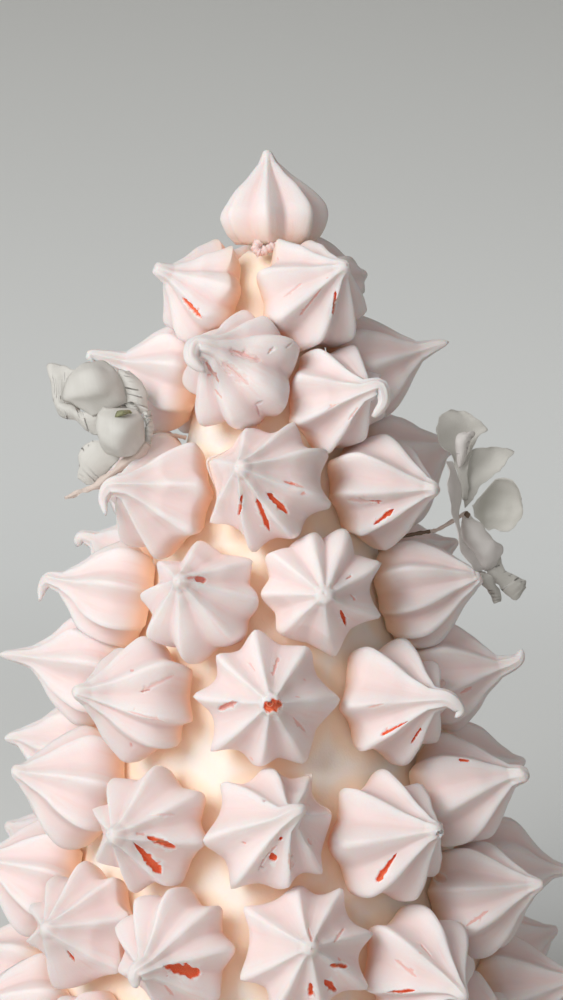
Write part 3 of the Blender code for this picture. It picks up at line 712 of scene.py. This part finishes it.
def kiss_piece(name, kiss, place, walls, seed, finish):
    """One kiss, swept along its spine, with ridges, grooves, a drawn-out tip and its marks."""
    draw = random.Random(seed)
    path, neck_index = kiss_path(kiss)
    frames = framed(path, np.array((1.0, 0.0, 0.0)))
    angles = ridge_angles(kiss, draw)
    sizes = [draw.uniform(0.95, 1.03) for _ in angles]
    front = abs((kiss.azimuth + 180) % 360 - 180) < FRONT_AZIMUTH
    columns, rows = FRONT_GRID if front else BACK_GRID
    turns = 2 * math.pi * np.arange(columns) / columns
    groove, size = groove_shape(kiss, angles, sizes, turns, random.Random(seed + 1))
    places, radii, depths = level_places(rows, len(path), neck_index, kiss)
    low = np.minimum(places.astype(int), len(path) - 2)
    part = (places - low)[:, None]
    centres = path[low] * (1 - part) + path[low + 1] * part
    across = frames[low, 0] * (1 - part) + frames[low + 1, 0] * part
    upward = frames[low, 1] * (1 - part) + frames[low + 1, 1] * part
    shares = places / neck_index
    wander = draw.uniform(0.02, 0.06) * np.sin(3.5 * shares + draw.uniform(0, 2 * math.pi))
    angle = turns + wander[:, None]
    radius = radii[:, None] * size * (1 - depths[:, None] * groove)
    around = across[:, None] * np.cos(angle)[..., None] + upward[:, None] * np.sin(angle)[..., None]
    points = (centres[:, None] + around * radius[..., None]).reshape(-1, 3)
    outward = around.reshape(-1, 3)
    middle = np.repeat(centres, columns, axis=0)

    matrix = np.array(place)
    world = points @ matrix[:3, :3].T + matrix[:3, 3]
    body = np.repeat(np.minimum(radii / (10 * MM), 1), columns)
    end = np.repeat(smooth_step(0.5, 1.0, (places - neck_index) / (len(path) - 1 - neck_index)), columns)
    swell = SWELL * waves(world, 14 * MM, seed + 40) + SMALL_SWELL * waves(world, 5 * MM, seed + 90)
    torn = TORN * kiss.blunt * waves(world, 1.6 * MM, seed + 140)
    points = points + outward * (swell * body + torn * end)[:, None]
    points = kept_clear(points, middle, walls)
    points[:columns, 2] = np.maximum(points[:columns, 2], 0)

    tip = path[-1] - (path[-1] - path[-3]) / np.linalg.norm(path[-1] - path[-3]) * DIMPLE * kiss.blunt
    points, faces = closed(points, rows, columns, (0, 0, 0), tip)
    # Painted warm bounce light and shade at the foot, where the kiss meets the cone; weaker on the apex.
    painted_foot_bounce = (1 - smooth_step(FOOT_BOUNCE_FROM, FOOT_BOUNCE_TO, points[:, 2])) * (0.35 if kiss is APEX else 1)
    values = {
        "painted_foot_bounce": painted_foot_bounce,
        "groove": np.append(np.outer(np.minimum(1, depths / 0.2), groove), [0, 0]),
        "level": np.append(np.repeat(shares, columns), [0, 1.3]),
        "around_x": np.append(np.tile(np.cos(turns), rows), [0, 0]),
        "around_y": np.append(np.tile(np.sin(turns), rows), [0, 0]),
    }
    points = points @ matrix[:3, :3].T + matrix[:3, 3]
    # A painted glow at the foot, on the strong lamp's side only.
    values["painted_glow"] = painted_foot_bounce * painted_glow(points)
    piece = add_piece("meringue_" + name, points, faces, finish, values)
    add_marks(name, piece.data)
    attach(piece, BODY)
    return piece


def add_kisses(finish):
    """Every kiss, kept clear of its neighbours. Those of the lowest ring are sunk a little into the cone."""
    kisses = [(APEX, "kiss_apex", TOUCH_GAP)]
    for level, ring in enumerate(SEPARATE_RINGS, 1):
        kisses += [(kiss, f"kiss_{level}_{number:02d}", TOUCH_GAP) for number, kiss in enumerate(ring, 1)]
    kisses += [(kiss, f"lowest_{number:02d}", -JOINED_SINK) for number, kiss in enumerate(LOWEST_RING, 1)]
    bellies = []
    for kiss, _, offset in kisses:
        place = kiss_place(kiss, offset)
        bellies.append((place, place @ Vector((0, 0, BELLY * kiss.length * MM))))
    for number, (kiss, name, _) in enumerate(kisses):
        place, belly = bellies[number]
        inverse = place.inverted()
        walls = []
        for other, (_, their_belly) in enumerate(bellies):
            apart = their_belly - belly
            if other == number or apart.length > NEIGHBOUR_REACH:
                continue
            share = kiss.width / (kiss.width + kisses[other][0].width)
            middle = inverse @ (belly + apart * share)
            normal = (inverse.to_3x3() @ apart).normalized()
            walls.append((np.array(normal), middle.dot(normal) - TOUCH_GAP / 2))
        piece = kiss_piece(name, kiss, place, walls, number, finish)
        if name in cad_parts:
            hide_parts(name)


def add_curls(finish):
    """The small curled ends, pink all over."""
    for name, (radius, route) in CURLS.items():
        route = np.array(route, float)
        path = placed(route[:, 0], route[:, 1], route[:, 2] * MM) / MM
        piece = add_tube(name, path, radius * MM, finish)
        add_values(piece.data, {"red": np.full(len(piece.data.vertices), 0.24)})


def add_core(finish):
    """The cream cone, with the soft unevenness of icing smoothed by hand."""
    heights = np.linspace(0, DOME_START_HEIGHT, CORE_ROWS)
    outline = [(FOOT_RADIUS - SLOPE * height, height) for height in heights]
    for step in range(1, DOME_ROWS):
        angle = LEAN_OF_SIDE + (math.pi / 2 - LEAN_OF_SIDE) * step / DOME_ROWS
        outline.append((DOME_RADIUS * math.cos(angle), DOME_CENTRE_HEIGHT + DOME_RADIUS * math.sin(angle)))
    turns = 2 * math.pi * np.arange(CORE_COLUMNS) / CORE_COLUMNS
    ring = np.stack([np.cos(turns), np.sin(turns)], axis=1)
    levels = [np.column_stack([radius * ring, 0 * turns + height]) for radius, height in outline]
    points = np.concatenate(levels)
    outward = unit(points * (1, 1, 0))
    uneven = 0.35 * waves(points, 30 * MM, 5) + 0.2 * waves(points, 9 * MM, 6) - 0.5
    points = points + outward * np.minimum(uneven, 0.25)[:, None] * MM
    points[:CORE_COLUMNS, 2] = 0
    points, faces = closed(points, len(outline), CORE_COLUMNS, (0, 0, 0), (0, 0, CORE_TOP))
    # How near each kiss's foot: it carries painted warm bounce light and shade, and a stronger painted glow, on
    # the cream.
    near = np.zeros(len(points))
    for kiss in [kiss for ring in (*SEPARATE_RINGS, LOWEST_RING) for kiss in ring]:
        away = np.linalg.norm(points - np.array(kiss_place(kiss, 0).translation), axis=1)
        near = np.maximum(near, 1 - smooth_step(0.36 * kiss.width * MM, 0.58 * kiss.width * MM, away))
    values = {"near": near, "painted_glow": (0.2 + 0.8 * near) * painted_glow(points)}
    piece = add_piece("cream_cone", points, faces, finish, values)
    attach(piece, BODY)
    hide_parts("core")


def placed(columns, rows, depths):
    """Points in metres that show at the given pixels of the photo, at the given distances along Y."""
    height = np.zeros_like(depths)
    for _ in range(PLACING_ROUNDS):
        scale = (VIEW_DISTANCE + depths * VIEW_COSINE - height * VIEW_SINE) * PIXEL / VIEW_DISTANCE
        height = ((PHOTO_HEIGHT / 2 - rows) * scale - depths * VIEW_SINE) / VIEW_COSINE
    return np.stack([(columns - AXIS_COLUMN) * scale, depths, height + AIM_HEIGHT], axis=-1)


def add_petal(name, petal, depth, finish, seed):
    """A thin wavy petal with a worn, uneven edge."""
    ribs = smooth_path(petal.ribs, 8)
    ribs = ribs[np.linspace(0, len(ribs) - 1, PETAL_ROWS).astype(int)]
    across = np.linspace(-1, 1, PETAL_COLUMNS)
    one, other = (1 - across) / 2, (1 + across) / 2
    columns, rows, ends = (np.outer(ribs[:, i], one) + np.outer(ribs[:, i + 2], other) for i in (0, 1, 4))
    bulge = np.outer(ribs[:, 5] - (ribs[:, 4] + ribs[:, 6]) / 2, 1 - across**2)
    middle = placed(columns, rows, (ends + bulge + depth) * MM)
    flat = middle.reshape(-1, 3)
    edge = np.tile(np.abs(across), (PETAL_ROWS, 1)).ravel() ** 3
    edge = np.maximum(edge, np.repeat(np.linspace(0, 1, PETAL_ROWS), PETAL_COLUMNS) ** 6)
    along_step = np.gradient(middle, axis=0)
    across_step = np.gradient(middle, axis=1)
    normal = unit(np.cross(along_step, across_step).reshape(-1, 3))
    wave = 0.5 * waves(flat, 9 * MM, seed) + (0.2 + 0.3 * edge) * waves(flat, 4 * MM, seed + 7)
    worn = 0.3 * edge * waves(flat, 1.8 * MM, seed + 13)
    sideways = unit(across_step.reshape(-1, 3))
    flat = flat + normal * (wave * MM)[:, None] + sideways * (worn * MM)[:, None]
    thin = PETAL_THICKNESS * (1 - 0.6 * edge)
    points = np.concatenate([flat + normal * thin[:, None] / 2, flat - normal * thin[:, None] / 2])
    size = len(flat)
    front = grid_faces(PETAL_ROWS, PETAL_COLUMNS, closed=False)
    number = np.arange(size).reshape(PETAL_ROWS, PETAL_COLUMNS)
    rim = [int(i) for i in (*number[0], *number[1:, -1], *number[-1, -2::-1], *number[-2:0:-1, 0])]
    faces = front.tolist() + (front[:, ::-1] + size).tolist()
    faces += [(b, a, size + a, size + b) for a, b in zip(rim, rim[1:] + rim[:1])]
    values = {"edge": np.tile(edge, 2), "across": np.tile(across, 2 * PETAL_ROWS)}
    piece = add_piece(name, points, faces, finish, values)
    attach(piece, BODY)
    return piece


def add_tube(name, route, radius, finish):
    """A thin round stalk along a smooth route, with small knots."""
    path = smooth_path(route, 8) * MM
    frames = framed(path, np.array((0.0, 1.0, 0.0)))
    turns = 2 * math.pi * np.arange(STEM_SIDES) / STEM_SIDES
    rings = []
    for number, (point, (across, upward)) in enumerate(zip(path, frames)):
        size = radius * (1 + 0.15 * math.sin(1.9 * number) + 0.1 * math.sin(5.3 * number))
        rings.append(point + size * (np.outer(np.cos(turns), across) + np.outer(np.sin(turns), upward)))
    points = np.concatenate(rings)
    faces = grid_faces(len(path), STEM_SIDES).tolist()
    faces.append(tuple(range(STEM_SIDES - 1, -1, -1)))
    faces.append(tuple(range(len(points) - STEM_SIDES, len(points))))
    piece = add_piece(name, points, faces, finish)
    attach(piece, BODY)
    return piece


def add_bud(name, centre, radius, finish):
    """A small dry bumpy ball."""
    form = bmesh.new()
    bmesh.ops.create_icosphere(form, subdivisions=4, radius=radius)
    mesh = bpy.data.meshes.new(name)
    form.to_mesh(mesh)
    form.free()
    points = points_of(mesh)
    faces = [tuple(polygon.vertices) for polygon in mesh.polygons]
    points = points * (1 + 0.25 * waves(points, 0.9 * radius, 3))[:, None] + np.array(centre)
    piece = add_piece(name, points, faces, finish)
    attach(piece, BODY)


def add_flowers():
    finishes = {title: petal_material(*look) for title, look in PETAL_FINISHES.items()}
    finishes["stem"] = stem_material()
    seed = 500
    for name, (depth, petals, stems) in FLOWERS.items():
        for part, petal in petals.items():
            seed += 20
            piece = add_petal(f"{name}_{part}", petal, depth, finishes[petal.finish], seed)
            if part == "top":
                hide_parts(name)
        for number, (finish, route) in enumerate(stems):
            add_tube(f"{name}_stem_{number}", route, STEM_RADIUS, finishes[finish])
    add_bud("flower_right_heart", np.array(DARK_HEART) * MM, HEART_RADIUS, finishes["stem"])


class Finish:
    """A material, with short ways to add nodes to it. A node's inputs go by name or number."""

    def __init__(self, name):
        self.material = bpy.data.materials.new(name)
        self.material.use_nodes = True
        self.tree = self.material.node_tree
        self.shader = self.tree.nodes["Principled BSDF"]

    def fill(self, node, inputs):
        """Gives a node's inputs a number, a colour or another node's output."""
        for key, value in inputs.items():
            socket = node.inputs[key]
            if isinstance(value, bpy.types.NodeSocket):
                self.tree.links.new(value, socket)
            else:
                socket.default_value = (*value, 1) if socket.type == "RGBA" else value

    def add(self, kind, inputs=None, **settings):
        node = self.tree.nodes.new(kind)
        for title, value in settings.items():
            setattr(node, title, value)
        self.fill(node, inputs or {})
        return node

    def mixed(self, share, first, second):
        """A colour between two others, each a colour or an output."""
        inputs = {"Factor": share, "A": first, "B": second}
        return self.add("ShaderNodeMix", inputs, data_type="RGBA").outputs["Result"]

    def ranged(self, value, low, high, to_low=0.0, to_high=1.0):
        """A value mapped smoothly from one range to another, and kept inside it."""
        inputs = {"Value": value, "From Min": low, "From Max": high, "To Min": to_low, "To Max": to_high}
        return self.add("ShaderNodeMapRange", inputs, interpolation_type="SMOOTHSTEP").outputs["Result"]

    def times(self, first, second):
        return self.add("ShaderNodeMath", {0: first, 1: second}, operation="MULTIPLY").outputs["Value"]

    def attribute(self, name):
        return self.add("ShaderNodeAttribute", attribute_name=name).outputs["Fac"]

    def noise(self, scale, detail=3.0, roughness=0.5, **place):
        """Noise over the object, or over another place given as Vector."""
        inputs = {"Scale": scale, "Detail": detail, "Roughness": roughness, **place}
        return self.add("ShaderNodeTexNoise", inputs).outputs["Fac"]

    def bump(self, height, strength, distance, **under):
        """Fine relief, on top of another one if that is given as Normal."""
        inputs = {"Height": height, "Strength": strength, "Distance": distance, **under}
        return self.add("ShaderNodeBump", inputs).outputs["Normal"]


def meringue_material():
    """Dry pale meringue: whitish ridges, pinker grooves partly from painted crease shade, greyer tips from
    painted shade, peach at the foot from painted warm bounce light and shade, a painted glow on the lamp's side,
    and red inside the slits.
    """
    mat = Finish("meringue")
    level = mat.attribute("level")
    red = mat.attribute("red")
    patches = mat.ranged(mat.noise(70, 2), 0.35, 0.7)
    pale = mat.mixed(patches, (0.915, 0.85, 0.85), (0.915, 0.825, 0.815))
    # Pinker and a little darker in the grooves: partly the meringue's own pink, partly painted shade in the
    # creases.
    tinted = mat.mixed(mat.ranged(mat.attribute("groove"), 0.3, 1.0), pale, (0.92, 0.765, 0.75))
    place = mat.add("ShaderNodeCombineXYZ", {
        "X": mat.attribute("around_x"), "Y": mat.attribute("around_y"), "Z": mat.times(level, LINE_STRETCH),
    })
    lines = mat.noise(7.0, 4.0, Vector=place.outputs["Vector"])
    lined = mat.mixed(mat.ranged(lines, 0.55, 0.75, 0.0, 0.45), tinted, (0.915, 0.69, 0.66))
    # Greyer towards the tips: painted shade.
    greyed = mat.mixed(mat.ranged(level, 0.65, 1.1, 0, 0.6), lined, (0.79, 0.765, 0.755))
    # Peach at the foot: painted warm bounce light and shade where the kiss meets the cone.
    warmed = mat.mixed(mat.attribute("painted_foot_bounce"), greyed, (0.96, 0.66, 0.49))
    rimmed = mat.mixed(mat.attribute("rim"), warmed, (0.95, 0.90, 0.89))
    speckled = mat.times(mat.ranged(red, 0.0, 0.4), mat.ranged(mat.noise(1100, 2), 0.4, 0.62, 0.35, 1.0))
    blush = mat.mixed(speckled, rimmed, (0.88, 0.44, 0.38))
    inside = mat.mixed(mat.ranged(mat.noise(800), 0.35, 0.65), (0.80, 0.085, 0.03), (0.97, 0.29, 0.13))
    mat.fill(mat.shader, {
        "Base Color": mat.mixed(mat.ranged(red, 0.5, 0.8), blush, inside),
        "Roughness": 0.55,
        "Specular IOR Level": 0.3,
        "Subsurface Weight": 0.6,
        "Subsurface Radius": (1.0, 0.55, 0.42),
        "Subsurface Scale": 0.0045,
        # A painted orange glow low on each kiss, on the strong lamp's side.
        "Emission Color": (1.0, 0.34, 0.17),
        "Emission Strength": mat.ranged(mat.attribute("painted_glow"), 0.2, 1.0, 0, MERINGUE_GLOW),
        "Normal": mat.bump(lines, 0.35, 0.0004, Normal=mat.bump(mat.noise(1400, 4, 0.6), 0.25, 0.00025)),
    })
    return mat.material


def cream_material():
    """Smooth cream icing, with painted warm bounce light and shade where the kisses stand close, and a painted
    glow on the lamp's side.
    """
    mat = Finish("cream_icing")
    cream = mat.mixed(mat.ranged(mat.noise(45), 0.35, 0.7), (0.955, 0.925, 0.865), (0.95, 0.91, 0.84))
    # Near the kisses' feet: painted warm bounce light and shade on the cream.
    near = mat.ranged(mat.attribute("near"), 0.25, 1.0)
    mat.fill(mat.shader, {
        "Base Color": mat.mixed(near, cream, (0.96, 0.825, 0.69)),
        "Roughness": 0.55,
        "Specular IOR Level": 0.35,
        "Subsurface Weight": 0.4,
        "Subsurface Radius": (1.0, 0.55, 0.3),
        "Subsurface Scale": 0.007,
        # A painted glow on the strong lamp's side, more orange near the kisses.
        "Emission Color": mat.mixed(near, (1.0, 0.93, 0.80), (1.0, 0.58, 0.33)),
        "Emission Strength": mat.ranged(mat.attribute("painted_glow"), 0.0, 1.0, 0, CREAM_GLOW),
        "Normal": mat.bump(mat.noise(300), 0.2, 0.0005),
    })
    return mat.material


def petal_material(name, white, grey, see_through):
    """A thin dry petal that lets some light through, with faint veins and a worn edge."""
    mat = Finish(name)
    across = mat.add("ShaderNodeCombineXYZ", {"X": mat.attribute("across")})
    mottled = mat.mixed(mat.ranged(mat.noise(160), 0.3, 0.75), white, grey)
    veins = mat.ranged(mat.noise(9.0, Vector=across.outputs["Vector"]), 0.5, 0.7, 0, 0.35)
    edge = mat.ranged(mat.attribute("edge"), 0.5, 0.95, 0, 0.8)
    worn = mat.times(mat.ranged(mat.noise(420), 0.58, 0.68), edge)
    mat.fill(mat.shader, {
        "Base Color": mat.mixed(worn, mat.mixed(veins, mottled, grey), (0.22, 0.19, 0.15)),
        "Roughness": 0.55,
        "Normal": mat.bump(mat.noise(500, 4), 0.35, 0.0003),
    })
    through = mat.add("ShaderNodeBsdfTranslucent", {"Color": white})
    blend = mat.add("ShaderNodeMixShader", {
        "Fac": see_through, 1: mat.shader.outputs["BSDF"], 2: through.outputs["BSDF"],
    })
    mat.fill(mat.tree.nodes["Material Output"], {"Surface": blend.outputs["Shader"]})
    return mat.material


def stem_material():
    """A dry brown stalk."""
    mat = Finish("dry_stem")
    brown = mat.mixed(mat.noise(400, 4), (0.08, 0.05, 0.035), (0.28, 0.20, 0.14))
    mat.fill(mat.shader, {"Base Color": brown, "Roughness": 0.7})
    return mat.material


def stage_material():
    """Pale grey floor and backdrop. It glows more the further back it lies, and less the higher it rises."""
    mat = Finish("pale_stage")
    place = mat.add("ShaderNodeSeparateXYZ", {"Vector": mat.add("ShaderNodeTexCoord").outputs["Object"]})
    begun = mat.ranged(place.outputs["Y"], *GLOW_BEGINS)
    grown = mat.ranged(place.outputs["Y"], *GLOW_GROWS, 1.0, GLOW_FAR)
    raised = mat.ranged(place.outputs["Z"], *GLOW_HEIGHTS, 1.0, GLOW_HIGH)
    mat.fill(mat.shader, {
        "Base Color": (0.55, 0.55, 0.53),
        "Roughness": 0.9,
        "Emission Color": GLOW_COLOUR,
        "Emission Strength": mat.times(mat.times(begun, grown), raised),
    })
    return mat.material


def add_stage():
    """A pale floor that curves up into a backdrop."""
    profile = [(-2.5, 0.0), (-0.3, 0.0), (0.3, 0.0), (0.8, 0.0), (BEND_START, 0.0)]
    for step in range(1, BEND_STEPS + 1):
        angle = math.pi / 2 * step / BEND_STEPS
        profile.append((BEND_START + BEND_RADIUS * math.sin(angle), BEND_RADIUS * (1 - math.cos(angle))))
    profile.append((BEND_START + BEND_RADIUS, STAGE_HALF))
    count = len(profile)
    points = np.array([(x, y, z) for x in (-STAGE_HALF, STAGE_HALF) for y, z in profile])
    faces = [(i, count + i, count + i + 1, i + 1) for i in range(count - 1)]
    add_piece("floor", points, faces, stage_material())


def add_light(name, azimuth, elevation, distance, size, power, colour):
    """A soft square light that looks at the middle of the tower."""
    lamp = bpy.data.lights.new(name, "AREA")
    lamp.size = size
    lamp.energy = power
    lamp.color = colour
    holder = bpy.data.objects.new(name, lamp)
    turn = math.radians(azimuth)
    rise = math.radians(elevation)
    away = Vector((math.sin(turn) * math.cos(rise), -math.cos(turn) * math.cos(rise), math.sin(rise)))
    holder.location = LAMP_AIM + away * distance
    holder.rotation_euler = away.to_track_quat("Z", "Y").to_euler()
    bpy.context.scene.collection.objects.link(holder)


def add_camera():
    lens = bpy.data.cameras.new("camera")
    lens.sensor_width = SENSOR
    lens.lens = SENSOR * VIEW_DISTANCE / PIXEL / PHOTO_HEIGHT
    lens.shift_x = (PHOTO_WIDTH / 2 - AXIS_COLUMN) / PHOTO_HEIGHT
    lens.clip_start = 0.01
    holder = bpy.data.objects.new("camera", lens)
    holder.location = (0, -VIEW_DISTANCE * VIEW_COSINE, AIM_HEIGHT + VIEW_DISTANCE * VIEW_SINE)
    holder.rotation_euler = (math.pi / 2 - VIEW_ELEVATION, 0, 0)
    bpy.context.scene.collection.objects.link(holder)
    bpy.context.scene.camera = holder


def add_world():
    world = bpy.data.worlds.new("studio")
    world.use_nodes = True
    background = world.node_tree.nodes["Background"]
    background.inputs["Color"].default_value = (*AMBIENT_COLOUR, 1)
    background.inputs["Strength"].default_value = AMBIENT
    bpy.context.scene.world = world
    bpy.context.scene.view_settings.view_transform = "Standard"


add_camera()
meringue = meringue_material()
add_kisses(meringue)
add_curls(meringue)
add_core(cream_material())
add_flowers()
add_stage()
add_light("key", -40, 28, distance=1.7, size=0.9, power=21.3, colour=(1.0, 0.995, 0.985))
add_light("fill", 0, 10, distance=1.6, size=1.3, power=3.1, colour=(1.0, 0.985, 0.97))
add_world()
